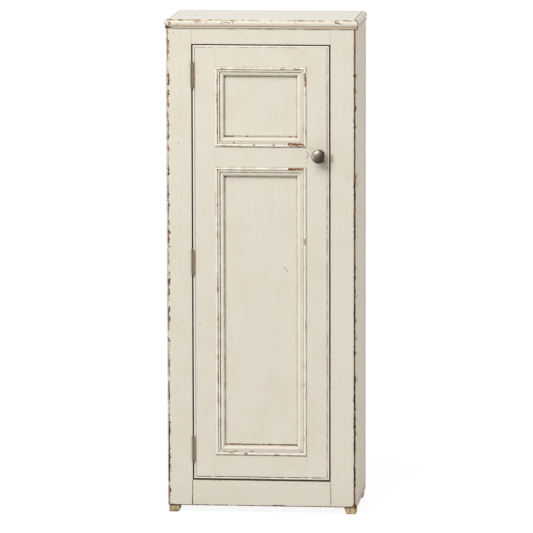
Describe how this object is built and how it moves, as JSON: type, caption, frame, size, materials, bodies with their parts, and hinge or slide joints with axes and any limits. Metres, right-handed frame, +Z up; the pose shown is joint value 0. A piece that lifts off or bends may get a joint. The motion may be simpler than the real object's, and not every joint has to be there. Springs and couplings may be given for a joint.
{
  "type": "cupboard",
  "caption": "Tall narrow free-standing cupboard with one framed and panelled door, moulded top, butt hinges, turning knob and small block feet",
  "frame": {"origin": "on the floor, at the middle of the footprint of case and knob", "axes": "+Z up, +Y from the door to the back, +X to the right seen from the front"},
  "size_m": [0.552, 0.3438, 1.421],
  "materials": {
    "paint": "old cream paint, worn at edges",
    "inner_wood": "thin old paint over pine",
    "bare_wood": "bare worn pine",
    "hinge_iron": "old iron, painted over",
    "pewter": "dull aged metal"
  },
  "bodies": {
    "carcass": {"side_left": "paint", "side_right": "paint", "floor_board": "inner_wood", "top_board": "paint", "top_cleat_left": "paint", "top_cleat_right": "paint", "nosing_front": "paint", "nosing_left": "paint", "nosing_right": "paint", "frame_stile_left": "paint", "frame_stile_right": "paint", "frame_rail_top": "paint", "frame_rail_bottom": "paint", "door_stop": "inner_wood", "bearers_left": "inner_wood", "bearers_right": "inner_wood", "back_board_1": "inner_wood", "back_board_2": "inner_wood", "back_board_3": "inner_wood", "shelf_lower": "inner_wood", "shelf_middle": "inner_wood", "shelf_upper": "inner_wood", "foot_front_left": "bare_wood", "foot_front_right": "bare_wood", "foot_back_left": "bare_wood", "foot_back_right": "bare_wood", "hinge_frame_leaf_lower": "hinge_iron", "hinge_frame_leaf_middle": "hinge_iron", "hinge_frame_leaf_upper": "hinge_iron", "hinge_pins": "hinge_iron", "frame_leaf_screws": "hinge_iron"},
    "door": {"door_stile_left": "paint", "door_stile_right": "paint", "door_rail_top": "paint", "door_rail_lock": "paint", "door_rail_bottom": "paint", "panel_upper": "paint", "panel_lower": "paint", "upper_moulding_bottom": "paint", "upper_moulding_left": "paint", "upper_moulding_top": "paint", "upper_moulding_right": "paint", "lower_moulding_bottom": "paint", "lower_moulding_left": "paint", "lower_moulding_top": "paint", "lower_moulding_right": "paint", "door_bead_bottom": "paint", "door_bead_left": "paint", "door_bead_top": "paint", "door_bead_right": "paint", "hinge_door_leaf_lower": "hinge_iron", "hinge_door_leaf_middle": "hinge_iron", "hinge_door_leaf_upper": "hinge_iron", "door_leaf_screws": "hinge_iron", "knob_rose": "pewter"},
    "latch": {"knob": "pewter", "spindle": "hinge_iron", "latch_tongue": "hinge_iron", "latch_nut": "hinge_iron"}
  },
  "joints": [
    {"name": "door_hinge", "type": "hinge", "parent": "carcass", "child": "door", "pos_m": [-0.1984, -0.1431, 0.7222], "axis": [0, 0, -1], "range_deg": [0, 170]},
    {"name": "latch_turn", "type": "hinge", "parent": "door", "child": "latch", "pos_m": [0.1653, -0.1381, 1.03515], "axis": [0, -1, 0], "range_deg": [0, 90]}
  ]
}
